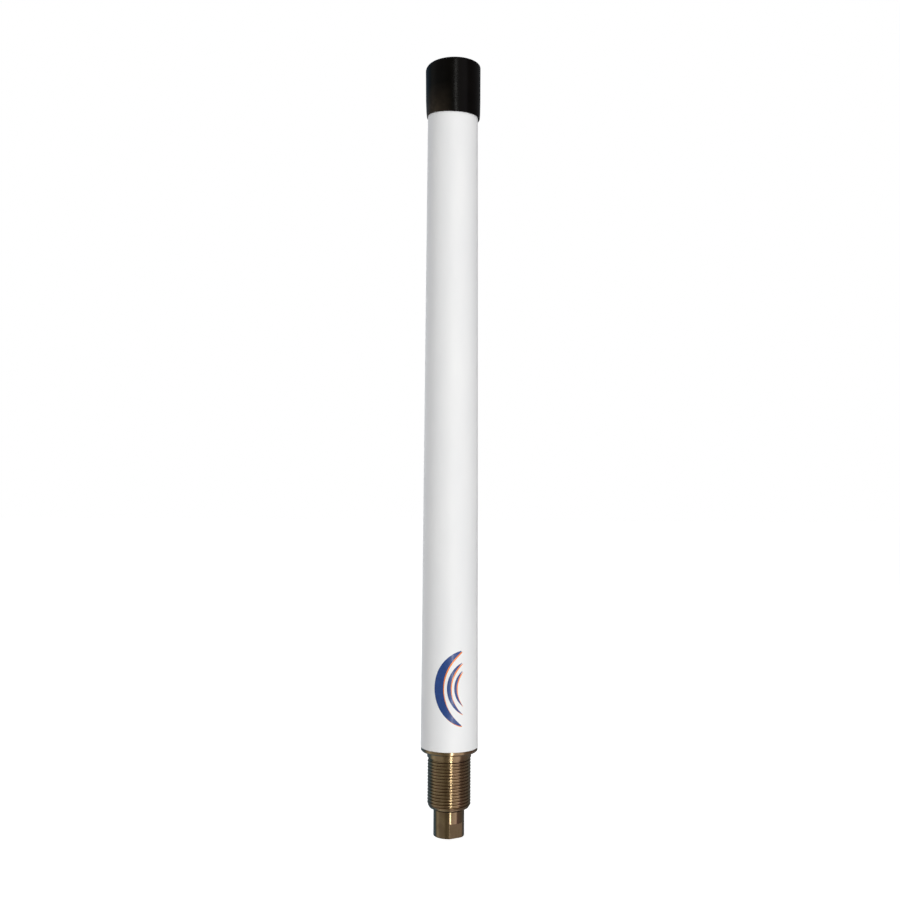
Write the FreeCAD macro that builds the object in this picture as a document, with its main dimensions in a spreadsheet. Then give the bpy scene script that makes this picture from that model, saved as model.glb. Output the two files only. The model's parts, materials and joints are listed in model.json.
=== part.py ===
import FreeCAD, Part
import os
import re
import Sketcher

# Omnidirectional antenna: a tapered white radome on a threaded brass ferrule, with a push-on vinyl end
# cap, a coaxial jack in the ferrule's lower housing and a two-element collinear radiator inside.
# Z is the antenna's axis, upwards. The origin is on it, in the seating plane under the ferrule's flange.

DOC = FreeCAD.newDocument("OmnidirectionalAntenna")
SHEET = DOC.addObject("Spreadsheet::Sheet", "Dimensions")

# alias, value in millimetres (or degrees, or a count), meaning
DIMENSIONS = [
    ("clearance", 0.05, "radial gap between nested pieces of the assembly"),
    ("cutter_margin", 1.0, "how far a milling cutter's outline stands out of the solid"),
    # ferrule
    ("flange_radius", 16.6, "flange that carries the radome"),
    ("flange_thickness", 2.3, "flange"),
    ("flange_chamfer", 0.7, "chamfer of the flange's lower rim"),
    ("collar_radius", 12.9, "plain collar under the flange"),
    ("collar_length", 3.3, "plain collar"),
    ("thread_radius", 12.65, "major radius of the 1 inch, 14 per inch mounting thread"),
    ("thread_pitch", 1.8143, "25.4 / 14"),
    ("thread_depth", 0.85, "crest to root"),
    ("thread_overrun", 0.3, "how far the thread's cutter stands out, as a share of the depth"),
    ("thread_side_gap", 0.02, "half the gap between neighbouring turns of the cutter, at its outer end"),
    ("thread_root_flat", 0.3, "width of the groove's floor"),
    ("thread_crest_flat", 0.5, "width of the crest"),
    ("thread_end", 32.1, "ferrule's lower end, below the seating plane"),
    ("relief_width", 0.9, "undercut between the collar and the thread"),
    ("lead_in_length", 1.9, "taper at the start of the thread"),
    ("lead_in_radius", 11.5, "small end of that taper"),
    ("spigot_radius", 14.5, "spigot bonded inside the radome"),
    ("spigot_top", 32.0, "upper end of the spigot"),
    ("spigot_cup_radius", 11.4, "hollow in the spigot"),
    ("spigot_cup_floor", 5.0, "floor of that hollow"),
    ("cable_bore_radius", 4.6, "bore for the feed cable"),
    ("housing_bore_radius", 7.0, "bore for the connector housing's shank"),
    ("housing_bore_top", 11.5, "upper end of that bore, below the seating plane"),
    ("seal_groove_radius", 12.75, "floor of the spigot's two seal grooves"),
    ("seal_groove_width", 2.3, "spigot's seal grooves"),
    ("seal_height_lower", 11.0, "height of the lower seal"),
    ("seal_height_upper", 24.0, "height of the upper seal"),
    ("seal_section_radius", 0.92, "section of the spigot seals"),
    # connector housing
    ("housing_radius", 9.0, "neck below the thread"),
    ("housing_bottom", 48.4, "lower end of the neck, below the seating plane"),
    ("housing_edge", 0.3, "chamfer at the neck's lower rim"),
    ("gasket_thickness", 1.2, "gasket between ferrule and neck"),
    ("gasket_radius", 8.7, "outside of the gasket"),
    ("shank_top", 20.0, "upper end of the housing's shank, below the seating plane"),
    ("flats_distance", 8.0, "axis to each spanner flat"),
    ("flats_length", 8.4, "spanner flats"),
    ("flats_turn", 30.0, "turn of the flats about the axis, in degrees"),
    ("socket_radius", 6.3, "recess round the coaxial jack"),
    ("socket_floor", 34.9, "floor of the recess, below the seating plane"),
    # coaxial jack, whose thread is M8 x 0.75
    ("jack_thread_radius", 4.0, "major radius of the thread, which is left as a plain cylinder"),
    ("jack_chamfer", 0.42, "chamfer at the start of the thread"),
    ("jack_tip", 43.4, "lower end of the jack, below the seating plane"),
    ("jack_flange_radius", 5.6, "flange against the recess's floor"),
    ("jack_flange_thickness", 1.5, "that flange"),
    ("jack_barrel_top", 15.6, "upper end of the barrel, below the seating plane"),
    ("jack_spigot_top", 6.0, "upper end of the crimp spigot, below the seating plane"),
    ("jack_bore_radius", 3.05, "bore that holds the insulator"),
    ("insulator_front", 38.0, "front face of the insulator, below the seating plane"),
    ("insulator_back", 18.0, "back face of the insulator, below the seating plane"),
    ("contact_radius", 0.95, "centre contact"),
    ("contact_tip", 42.3, "lower end of the contact, below the seating plane"),
    ("contact_back", 16.6, "upper end of the contact, below the seating plane"),
    ("contact_slot", 0.3, "width of the contact's slots"),
    ("contact_slot_length", 3.2, "length of the slots"),
    ("contact_bore_radius", 0.5, "bores at both ends of the contact"),
    ("contact_cup_depth", 3.0, "solder cup at the contact's back"),
    ("nut_flats", 10.0, "across the flats of the jack's nut"),
    ("nut_height", 2.6, "jack's nut"),
    ("washer_radius", 5.6, "lock washer under that nut"),
    ("washer_thickness", 0.6, "lock washer"),
    ("crimp_radius", 3.15, "outside of the crimp sleeve"),
    ("crimp_bottom", 14.5, "lower end of the crimp sleeve, below the seating plane"),
    ("crimp_top", 3.0, "upper end of the crimp sleeve"),
    # feed cable, 5 mm coaxial
    ("conductor_radius", 0.45, "centre conductor"),
    ("dielectric_radius", 1.475, "cable's dielectric"),
    ("dielectric_gap", 1.0, "bare conductor between the contact and the dielectric"),
    ("dielectric_setback", 2.0, "end of the dielectric, below the lower radiator"),
    ("braid_radius", 1.78, "outside of the braid"),
    ("jacket_radius", 2.475, "outside of the jacket"),
    ("jacket_top", 137.0, "upper end of the jacket"),
    # choke beads
    ("bead_count", 2, "ferrite beads"),
    ("bead_radius", 5.0, "ferrite bead"),
    ("bead_length", 9.0, "ferrite bead"),
    ("bead_bottom", 37.0, "lower end of the first bead"),
    ("bead_pitch", 9.4, "spacing of the beads"),
    ("bead_edge", 0.6, "rounding of a bead's rims"),
    ("shrink_wall", 0.4, "heat-shrink tube over the beads"),
    ("shrink_overhang", 3.0, "heat-shrink tube past each end of the beads"),
    ("shrink_taper", 1.0, "length over which it draws in to the cable"),
    # lower dipole sleeve
    ("sleeve_radius", 6.0, "brass sleeve"),
    ("sleeve_wall", 0.5, "brass sleeve"),
    ("sleeve_bottom", 66.0, "brass sleeve"),
    ("sleeve_length", 76.0, "a quarter wave"),
    ("end_plate_thickness", 3.0, "plate soldered in the sleeve's top"),
    ("sleeve_spacer_thickness", 4.0, "spacer in the sleeve's open end"),
    ("sleeve_spacer_inset", 1.0, "spacer above the sleeve's end"),
    ("feed_insulator_length", 12.0, "insulator at the feed point"),
    ("feed_web", 6.0, "solid web of the feed insulator"),
    ("feed_chamfer", 1.5, "chamfer of the feed insulator's upper rim"),
    # radiators and phasing coil
    ("radiator_radius", 3.0, "brass radiator rods"),
    ("radiator_chamfer", 0.6, "chamfer of the upper rod's end"),
    ("lower_radiator_length", 74.0, "a quarter wave"),
    ("coil_gap", 24.0, "gap between the two radiators"),
    ("upper_radiator_length", 146.0, "a half wave"),
    ("former_radius", 2.0, "rod that joins the radiators"),
    ("former_engagement", 8.0, "former inside each radiator"),
    ("solder_hole_radius", 0.5, "hole for the centre conductor"),
    ("solder_hole_depth", 5.0, "hole for the centre conductor"),
    ("coil_radius", 5.2, "phasing coil, centre of the wire"),
    ("coil_wire_radius", 0.7, "phasing coil's wire"),
    ("coil_turns", 6.5, "phasing coil"),
    ("collar_height", 4.0, "clamp collars of the coil"),
    ("clamp_collar_radius", 5.9, "clamp collars of the coil"),
    ("collar_overlap", 2.0, "clamp collar on its radiator"),
    ("tip_radius", 4.2, "plastic tip on the upper radiator"),
    ("tip_length", 7.0, "plastic tip"),
    ("tip_wall", 3.0, "plastic above the rod's end"),
    ("tip_chamfer", 1.0, "chamfer of the tip's upper rim"),
    # foam spacers
    ("foam_thickness", 12.0, "foam spacers"),
    ("foam_gap", 0.1, "radial gap of a spacer inside the radome"),
    ("foam_inset", 12.0, "spacer from each end of the brass sleeve"),
    # radome, plug and cap
    ("radome_base_radius", 16.8, "radome's lower end"),
    ("radome_tip_radius", 15.05, "radome's upper end"),
    ("radome_wall", 2.0, "radome"),
    ("radome_top", 406.7, "radome's upper end"),
    ("plug_depth", 9.0, "plug inside the radome"),
    ("plug_wall", 1.6, "plug's wall"),
    ("plug_chamfer", 1.0, "chamfer of the plug's lower rim"),
    ("plug_rim_thickness", 1.2, "plug's rim on the radome's end"),
    ("plug_rim_radius", 14.8, "plug's rim"),
    ("cap_bottom", 377.0, "end cap's open end"),
    ("cap_top", 410.2, "end cap's top"),
    ("cap_radius", 16.75, "end cap, at its top"),
    ("cap_waist_radius", 16.62, "end cap, where it starts to draw in to the radome"),
    ("cap_waist_height", 12.0, "height of that place above the open end"),
    ("cap_rim_radius", 16.2, "end cap, at its open end"),
    ("cap_bore_radius", 15.35, "end cap's inside"),
    ("cap_roof", 2.15, "thickness of the cap's roof"),
    ("cap_shoulder", 1.8, "rounding of the cap's top edge"),
    ("cap_rim_round", 0.5, "rounding of the cap's lower rim, outside"),
    ("cap_lip_round", 0.2, "rounding of the cap's lower rim, inside"),
]
ALIASES = {alias for alias, _, _ in DIMENSIONS}


def fill_sheet():
    for row, (alias, value, meaning) in enumerate(DIMENSIONS, start=1):
        SHEET.set(f"A{row}", alias)
        SHEET.set(f"B{row}", str(value))
        SHEET.set(f"C{row}", meaning)
        SHEET.setAlias(f"B{row}", alias)
    DOC.recompute()


def bound(formula):
    """The formula with each alias read from the sheet, as an expression for setExpression."""
    return re.sub(r"[A-Za-z_]+", lambda m: f"Dimensions.{m[0]}" if m[0] in ALIASES else m[0], formula)


def number(formula):
    return float(SHEET.evalExpression(bound(formula)))


def new_sketch(body, role, name, lift=None):
    """A sketch on one of the body's own origin planes, lifted along the plane's normal."""
    sketch = body.newObject("Sketcher::SketchObject", name)
    origin_plane = next(f for f in body.Origin.OriginFeatures if f.Role == role)
    sketch.AttachmentSupport = (origin_plane, "")
    sketch.MapMode = "FlatFace"
    if lift:
        sketch.setExpression("AttachmentOffset.Base.z", bound(lift))
    return sketch


def hold_point(sketch, line, end, across, up):
    """Fixes a line's end at (across, up), each a formula."""
    for kind, axis, formula in (("DistanceX", -2, across), ("DistanceY", -1, up)):
        if formula == "0":
            sketch.addConstraint(Sketcher.Constraint("PointOnObject", line, end, axis))
        else:
            index = sketch.addConstraint(Sketcher.Constraint(kind, -1, 1, line, end, number(formula)))
            sketch.setExpression(f"Constraints[{index}]", bound(formula))


def draw_outline(sketch, corners):
    """A closed outline of straight lines whose corners are (across, up) formulas."""
    places = [FreeCAD.Vector(number(across), number(up), 0) for across, up in corners]
    first = sketch.GeometryCount
    count = len(corners)
    for i in range(count):
        sketch.addGeometry(Part.LineSegment(places[i], places[(i + 1) % count]), False)
    for i in range(count):
        sketch.addConstraint(Sketcher.Constraint("Coincident", first + i, 2, first + (i + 1) % count, 1))
    for i, (across, up) in enumerate(corners):
        hold_point(sketch, first + i, 1, across, up)


def turned(label, corners):
    """A body turned about Z from an outline of (radius, height) formulas."""
    body = DOC.addObject("PartDesign::Body", label)
    sketch = new_sketch(body, "XZ_Plane", label + "_outline")
    draw_outline(sketch, corners)
    revolution = body.newObject("PartDesign::Revolution", label + "_turned")
    revolution.Profile = sketch
    revolution.ReferenceAxis = (sketch, ["V_Axis"])
    revolution.Angle = 360
    DOC.recompute()
    return body


def tube(label, inner, outer, bottom, top):
    """A turned body with a straight bore."""
    return turned(label, [(inner, bottom), (outer, bottom), (outer, top), (inner, top)])


def rod(label, radius, bottom, top):
    return turned(label, [("0", bottom), (radius, bottom), (radius, top), ("0", top)])


def rim_edges(shape, radius, height):
    """The names of the circular edges of that radius about Z at that height."""
    names = []
    for index, edge in enumerate(shape.Edges, start=1):
        box = edge.BoundBox
        flat = abs(box.ZMin - height) < 0.01 and abs(box.ZMax - height) < 0.01
        if flat and isinstance(edge.Curve, Part.Circle) and abs(edge.Curve.Radius - radius) < 0.01:
            names.append(f"Edge{index}")
    return names


def round_rim(body, name, radius, height, size):
    """Rounds the rim of that radius and height, all three formulas."""
    base = body.Tip
    fillet = body.newObject("PartDesign::Fillet", name)
    fillet.Base = (base, rim_edges(base.Shape, number(radius), number(height)))
    fillet.setExpression("Radius", bound(size))
    DOC.recompute()


def cut_thread(body):
    """The mounting thread: one helical groove, cut upwards from below the ferrule's end to the undercut."""
    floor = "thread_radius - thread_depth"
    outside = "thread_radius + thread_depth * thread_overrun"
    half_root = "thread_root_flat / 2"
    half_mouth = "(thread_pitch - thread_crest_flat) / 2"
    # the flanks run on past the crest, but neighbouring turns of the cutter keep clear of each other
    flank_end = f"{half_root} + ({half_mouth} - {half_root}) * (1 + thread_overrun)"
    half_outside = f"min({flank_end}; thread_pitch / 2 - thread_side_gap)"
    start = "-thread_end - thread_pitch / 2"
    groove = new_sketch(body, "XZ_Plane", "ferrule_thread_groove")
    draw_outline(
        groove,
        [
            (floor, f"{start} - {half_root}"),
            (outside, f"{start} - {half_outside}"),
            (outside, f"{start} + {half_outside}"),
            (floor, f"{start} + {half_root}"),
        ],
    )
    thread = body.newObject("PartDesign::SubtractiveHelix", "ferrule_thread")
    thread.Profile = groove
    thread.ReferenceAxis = (groove, ["V_Axis"])
    thread.Mode = 0
    thread.setExpression("Pitch", bound("thread_pitch"))
    thread.setExpression("Height", bound("thread_end + thread_pitch / 2 - collar_length - relief_width"))
    DOC.recompute()


def pocket(body, name, sketch, length, upwards):
    cut = body.newObject("PartDesign::Pocket", name)
    cut.Profile = sketch
    cut.setExpression("Length", bound(length))
    cut.Reversed = upwards
    DOC.recompute()
    return cut


def radome_inside(height):
    """Formula of the radome's inner radius at a height."""
    fall = "(radome_base_radius - radome_tip_radius) / (radome_top - flange_thickness)"
    return f"(radome_base_radius - radome_wall - ({height} - flange_thickness) * {fall})"


# ---- base: ferrule, connector housing and their seals ----


def seal_groove(height):
    """Corners of one seal groove in the spigot, upwards."""
    low = f"{height} - seal_groove_width / 2"
    high = f"{height} + seal_groove_width / 2"
    return [
        ("spigot_radius", low),
        ("seal_groove_radius", low),
        ("seal_groove_radius", high),
        ("spigot_radius", high),
    ]


def ferrule():
    relief_bottom = "-collar_length - relief_width"
    relief_radius = "thread_radius - thread_depth - clearance"
    body = turned(
        "ferrule",
        [
            ("housing_bore_radius", "-thread_end"),
            ("lead_in_radius", "-thread_end"),
            ("thread_radius", "lead_in_length - thread_end"),
            ("thread_radius", relief_bottom),
            (relief_radius, relief_bottom),
            (relief_radius, "-collar_length"),
            ("collar_radius", "-collar_length"),
            ("collar_radius", "0"),
            ("flange_radius - flange_chamfer", "0"),
            ("flange_radius", "flange_chamfer"),
            ("flange_radius", "flange_thickness"),
            ("spigot_radius", "flange_thickness"),
            *seal_groove("seal_height_lower"),
            *seal_groove("seal_height_upper"),
            ("spigot_radius", "spigot_top"),
            ("spigot_cup_radius", "spigot_top"),
            ("spigot_cup_radius", "spigot_cup_floor"),
            ("cable_bore_radius", "spigot_cup_floor"),
            ("cable_bore_radius", "-housing_bore_top"),
            ("housing_bore_radius", "-housing_bore_top"),
        ],
    )
    cut_thread(body)
    return body


def spigot_seal(label, height):
    seal = DOC.addObject("Part::Torus", label)
    seal.setExpression("Radius1", bound("seal_groove_radius + clearance + seal_section_radius"))
    seal.setExpression("Radius2", bound("seal_section_radius"))
    seal.setExpression("Placement.Base.z", bound(height))
    return seal


def connector_housing():
    shoulder = "-thread_end - gasket_thickness"
    hole = "jack_thread_radius + clearance"
    body = turned(
        "connector_housing",
        [
            ("socket_radius", "-housing_bottom"),
            ("housing_radius - housing_edge", "-housing_bottom"),
            ("housing_radius", "housing_edge - housing_bottom"),
            ("housing_radius", shoulder),
            ("housing_bore_radius - clearance", shoulder),
            ("housing_bore_radius - clearance", "-shank_top"),
            (hole, "-shank_top"),
            (hole, "-socket_floor"),
            ("socket_radius", "-socket_floor"),
        ],
    )
    flats = new_sketch(body, "XY_Plane", "spanner_flats_outline", lift="-housing_bottom")
    beyond = "housing_radius + cutter_margin"
    for near, far in (("flats_distance", beyond), (f"-({beyond})", "-flats_distance")):
        draw_outline(
            flats,
            [(f"-({beyond})", near), (beyond, near), (beyond, far), (f"-({beyond})", far)],
        )
    pocket(body, "spanner_flats", flats, "flats_length", upwards=True)
    body.Placement.Rotation = FreeCAD.Rotation(FreeCAD.Vector(0, 0, 1), 0)
    body.setExpression("Placement.Rotation.Angle", bound("flats_turn"))
    return body


def housing_gasket():
    return tube(
        "housing_gasket",
        "housing_bore_radius + clearance",
        "gasket_radius",
        "-thread_end - gasket_thickness",
        "-thread_end",
    )


# ---- coaxial jack ----


def jack_shell():
    front = "jack_flange_thickness + socket_floor"
    return turned(
        "jack_shell",
        [
            ("jack_bore_radius", "-jack_tip"),
            ("jack_thread_radius - jack_chamfer", "-jack_tip"),
            ("jack_thread_radius", "jack_chamfer - jack_tip"),
            ("jack_thread_radius", f"-({front})"),
            ("jack_flange_radius", f"-({front})"),
            ("jack_flange_radius", "-socket_floor"),
            ("jack_thread_radius - clearance", "-socket_floor"),
            ("jack_thread_radius - clearance", "-jack_barrel_top"),
            ("jacket_radius", "-jack_barrel_top"),
            ("jacket_radius", "-jack_spigot_top"),
            ("dielectric_radius + clearance", "-jack_spigot_top"),
            ("dielectric_radius + clearance", "-insulator_back"),
            ("jack_bore_radius", "-insulator_back"),
        ],
    )


def jack_insulator():
    return tube(
        "jack_insulator",
        "contact_radius + clearance",
        "jack_bore_radius - clearance",
        "-insulator_front",
        "-insulator_back",
    )


def jack_contact():
    mouth = "contact_slot_length - contact_tip"
    body = turned(
        "jack_contact",
        [
            ("contact_bore_radius", "-contact_tip"),
            ("contact_radius", "-contact_tip"),
            ("contact_radius", "-contact_back"),
            ("contact_bore_radius", "-contact_back"),
            ("contact_bore_radius", "-contact_back - contact_cup_depth"),
            ("0", "-contact_back - contact_cup_depth"),
            ("0", mouth),
            ("contact_bore_radius", mouth),
        ],
    )
    slot = new_sketch(body, "XY_Plane", "contact_slot_outline", lift="-contact_tip")
    half = "contact_slot / 2"
    across = "contact_radius + cutter_margin"
    draw_outline(
        slot,
        [(f"-({across})", f"-{half}"), (across, f"-{half}"), (across, half), (f"-({across})", half)],
    )
    first_slot = pocket(body, "contact_slot", slot, "contact_slot_length", upwards=True)
    slots = body.newObject("PartDesign::PolarPattern", "contact_slots")
    slots.Originals = [first_slot]
    slots.Axis = (slot, ["N_Axis"])
    slots.Angle = 180
    slots.Occurrences = 2
    body.Tip = slots
    DOC.recompute()
    return body


def jack_washer():
    return tube(
        "jack_washer",
        "jack_thread_radius + clearance",
        "washer_radius",
        "-shank_top",
        "washer_thickness - shank_top",
    )


def jack_nut():
    hexagon = DOC.addObject("Part::Prism", "jack_nut_hexagon")
    hexagon.Polygon = 6
    hexagon.setExpression("Circumradius", bound("nut_flats / sqrt(3)"))
    hexagon.setExpression("Height", bound("nut_height"))
    bore = DOC.addObject("Part::Cylinder", "jack_nut_bore")
    bore.setExpression("Radius", bound("jack_thread_radius"))
    bore.setExpression("Height", bound("nut_height"))
    nut = DOC.addObject("Part::Cut", "jack_nut")
    nut.Base = hexagon
    nut.Tool = bore
    nut.setExpression("Placement.Base.z", bound("washer_thickness - shank_top"))
    return nut


def crimp_sleeve():
    return tube("crimp_sleeve", "jacket_radius + clearance", "crimp_radius", "-crimp_bottom", "crimp_top")


# ---- feed cable and choke ----

PLATE_TOP = "(sleeve_bottom + sleeve_length)"
ROD_BOTTOM = "(sleeve_bottom + sleeve_length + feed_web)"


def coax_conductor():
    return rod(
        "coax_conductor",
        "conductor_radius",
        "-contact_back - contact_cup_depth",
        f"{ROD_BOTTOM} + solder_hole_depth",
    )


def coax_dielectric():
    return tube(
        "coax_dielectric",
        "conductor_radius + clearance",
        "dielectric_radius",
        "dielectric_gap - contact_back",
        f"{ROD_BOTTOM} - dielectric_setback",
    )


def coax_braid():
    return tube(
        "coax_braid",
        "dielectric_radius + clearance",
        "braid_radius",
        "-jack_spigot_top",
        PLATE_TOP,
    )


def coax_jacket():
    return tube("coax_jacket", "braid_radius + clearance", "jacket_radius", "-jack_spigot_top", "jacket_top")


def choke_beads():
    beads = []
    for i in range(int(number("bead_count"))):
        low = f"bead_bottom + {i} * bead_pitch"
        high = f"{low} + bead_length"
        bead = tube(f"choke_bead_{i + 1}", "jacket_radius + clearance", "bead_radius", low, high)
        for end, height in (("lower", low), ("upper", high)):
            round_rim(bead, f"choke_bead_{i + 1}_{end}_edge", "bead_radius", height, "bead_edge")
        beads.append(bead)
    return beads


def bead_heatshrink():
    """A tube over all the beads, drawn in to the cable's jacket past each end."""
    top = "bead_bottom + (bead_count - 1) * bead_pitch + bead_length"
    outside = "bead_radius + clearance + shrink_wall"
    inside = "bead_radius + clearance"
    small_inside = "jacket_radius + clearance"
    small_outside = "jacket_radius + clearance + shrink_wall"
    return turned(
        "bead_heatshrink",
        [
            (small_inside, "bead_bottom - shrink_overhang"),
            (small_outside, "bead_bottom - shrink_overhang"),
            (small_outside, "bead_bottom - shrink_taper"),
            (outside, "bead_bottom"),
            (outside, top),
            (small_outside, f"{top} + shrink_taper"),
            (small_outside, f"{top} + shrink_overhang"),
            (small_inside, f"{top} + shrink_overhang"),
            (small_inside, f"{top} + clearance"),
            (inside, f"{top} + clearance"),
            (inside, "bead_bottom - clearance"),
            (small_inside, "bead_bottom - clearance"),
        ],
    )


# ---- radiating elements ----


def dipole_sleeve():
    return tube(
        "dipole_sleeve",
        "sleeve_radius - sleeve_wall",
        "sleeve_radius",
        "sleeve_bottom",
        PLATE_TOP,
    )


def sleeve_end_plate():
    return tube(
        "sleeve_end_plate",
        "braid_radius + clearance",
        "sleeve_radius - sleeve_wall - clearance",
        f"{PLATE_TOP} - end_plate_thickness",
        PLATE_TOP,
    )


def sleeve_spacer():
    bottom = "sleeve_bottom + sleeve_spacer_inset"
    return tube(
        "sleeve_spacer",
        "jacket_radius + clearance",
        "sleeve_radius - sleeve_wall - clearance",
        bottom,
        f"{bottom} + sleeve_spacer_thickness",
    )


def feed_insulator():
    top = f"{PLATE_TOP} + feed_insulator_length"
    return turned(
        "feed_insulator",
        [
            ("dielectric_radius + clearance", PLATE_TOP),
            ("sleeve_radius", PLATE_TOP),
            ("sleeve_radius", f"{top} - feed_chamfer"),
            ("sleeve_radius - feed_chamfer", top),
            ("radiator_radius + clearance", top),
            ("radiator_radius + clearance", ROD_BOTTOM),
            ("conductor_radius + clearance", ROD_BOTTOM),
            ("conductor_radius + clearance", f"{ROD_BOTTOM} - dielectric_setback"),
            ("dielectric_radius + clearance", f"{ROD_BOTTOM} - dielectric_setback"),
        ],
    )


GAP_BOTTOM = f"({ROD_BOTTOM} + lower_radiator_length)"
GAP_TOP = f"({GAP_BOTTOM} + coil_gap)"
ROD_TOP = f"({GAP_TOP} + upper_radiator_length)"


def lower_radiator():
    hole_end = f"{ROD_BOTTOM} + solder_hole_depth + clearance"
    former_hole = f"{GAP_BOTTOM} - former_engagement - clearance"
    return turned(
        "lower_radiator",
        [
            ("solder_hole_radius", ROD_BOTTOM),
            ("radiator_radius", ROD_BOTTOM),
            ("radiator_radius", GAP_BOTTOM),
            ("former_radius + clearance", GAP_BOTTOM),
            ("former_radius + clearance", former_hole),
            ("0", former_hole),
            ("0", hole_end),
            ("solder_hole_radius", hole_end),
        ],
    )


def upper_radiator():
    former_hole = f"{GAP_TOP} + former_engagement + clearance"
    return turned(
        "upper_radiator",
        [
            ("former_radius + clearance", GAP_TOP),
            ("radiator_radius", GAP_TOP),
            ("radiator_radius", f"{ROD_TOP} - radiator_chamfer"),
            ("radiator_radius - radiator_chamfer", ROD_TOP),
            ("0", ROD_TOP),
            ("0", former_hole),
            ("former_radius + clearance", former_hole),
        ],
    )


def coil_former():
    return rod(
        "coil_former",
        "former_radius",
        f"{GAP_BOTTOM} - former_engagement",
        f"{GAP_TOP} + former_engagement",
    )


def coil_collars():
    """Two brass collars that clamp the coil's ends to the radiators."""
    lower = tube(
        "coil_collar_lower",
        "radiator_radius + clearance",
        "clamp_collar_radius",
        f"{GAP_BOTTOM} - collar_overlap - collar_height / 2",
        f"{GAP_BOTTOM} - collar_overlap + collar_height / 2",
    )
    upper = tube(
        "coil_collar_upper",
        "radiator_radius + clearance",
        "clamp_collar_radius",
        f"{GAP_TOP} + collar_overlap - collar_height / 2",
        f"{GAP_TOP} + collar_overlap + collar_height / 2",
    )
    return [lower, upper]


def phasing_coil():
    """The coil's wire as one helix that fills the gap between the two collars."""
    body = DOC.addObject("PartDesign::Body", "phasing_coil")
    section = new_sketch(body, "XZ_Plane", "phasing_coil_wire")
    start = f"{GAP_BOTTOM} + coil_wire_radius + clearance"
    rise = "(coil_gap - 2 * (coil_wire_radius + clearance))"
    centre = FreeCAD.Vector(number("coil_radius"), number(start), 0)
    circle = Part.Circle(centre, FreeCAD.Vector(0, 0, 1), number("coil_wire_radius"))
    wire = section.addGeometry(circle, False)
    hold_point(section, wire, 3, "coil_radius", start)
    radius = section.addConstraint(Sketcher.Constraint("Radius", wire, number("coil_wire_radius")))
    section.setExpression(f"Constraints[{radius}]", bound("coil_wire_radius"))
    helix = body.newObject("PartDesign::AdditiveHelix", "phasing_coil_turns")
    helix.Profile = section
    helix.ReferenceAxis = (section, ["V_Axis"])
    helix.Mode = 0
    helix.setExpression("Pitch", bound(f"{rise} / coil_turns"))
    helix.setExpression("Height", bound(rise))
    DOC.recompute()
    return body


def radiator_tip():
    top = f"{ROD_TOP} + tip_wall"
    return turned(
        "radiator_tip",
        [
            ("radiator_radius + clearance", f"{top} - tip_length"),
            ("tip_radius", f"{top} - tip_length"),
            ("tip_radius", f"{top} - tip_chamfer"),
            ("tip_radius - tip_chamfer", top),
            ("0", top),
            ("0", f"{ROD_TOP} + clearance"),
            ("radiator_radius + clearance", f"{ROD_TOP} + clearance"),
        ],
    )


def foam_spacers():
    """Foam discs that centre the cable, the sleeve and the two rods in the radome."""
    spacers = []
    held = [
        ("sleeve_radius", "sleeve_bottom + foam_inset"),
        ("sleeve_radius", f"{PLATE_TOP} - foam_inset - foam_thickness"),
        ("radiator_radius", f"{ROD_BOTTOM} + lower_radiator_length / 2"),
        ("radiator_radius", f"{GAP_TOP} + upper_radiator_length / 4"),
        ("radiator_radius", f"{GAP_TOP} + upper_radiator_length * 3 / 4"),
    ]
    for i, (inner, bottom) in enumerate(held, start=1):
        top = f"{bottom} + foam_thickness"
        outer = f"{radome_inside(top)} - foam_gap"
        spacers.append(tube(f"foam_spacer_{i}", f"{inner} + foam_gap", outer, bottom, top))
    return spacers


# ---- radome, plug and cap ----


def radome():
    return turned(
        "radome",
        [
            ("radome_base_radius - radome_wall", "flange_thickness"),
            ("radome_base_radius", "flange_thickness"),
            ("radome_tip_radius", "radome_top"),
            ("radome_tip_radius - radome_wall", "radome_top"),
        ],
    )


def top_plug():
    """A cup that closes the radome's upper end, with a rim that lies on it."""
    bottom = "radome_top - plug_depth"
    outer = "radome_tip_radius - radome_wall - clearance"
    rim_top = "radome_top + plug_rim_thickness"
    return turned(
        "top_plug",
        [
            ("0", bottom),
            (f"{outer} - plug_chamfer", bottom),
            (outer, f"{bottom} + plug_chamfer"),
            (outer, "radome_top"),
            ("plug_rim_radius", "radome_top"),
            ("plug_rim_radius", rim_top),
            (f"{outer} - plug_wall", rim_top),
            (f"{outer} - plug_wall", f"{bottom} + plug_wall"),
            ("0", f"{bottom} + plug_wall"),
        ],
    )


def end_cap():
    body = turned(
        "end_cap",
        [
            ("cap_bore_radius", "cap_bottom"),
            ("cap_rim_radius", "cap_bottom"),
            ("cap_waist_radius", "cap_bottom + cap_waist_height"),
            ("cap_radius", "cap_top"),
            ("0", "cap_top"),
            ("0", "cap_top - cap_roof"),
            ("cap_bore_radius", "cap_top - cap_roof"),
        ],
    )
    round_rim(body, "cap_top_edge", "cap_radius", "cap_top", "cap_shoulder")
    round_rim(body, "cap_rim_outside", "cap_rim_radius", "cap_bottom", "cap_rim_round")
    round_rim(body, "cap_rim_inside", "cap_bore_radius", "cap_bottom", "cap_lip_round")
    return body


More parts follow.
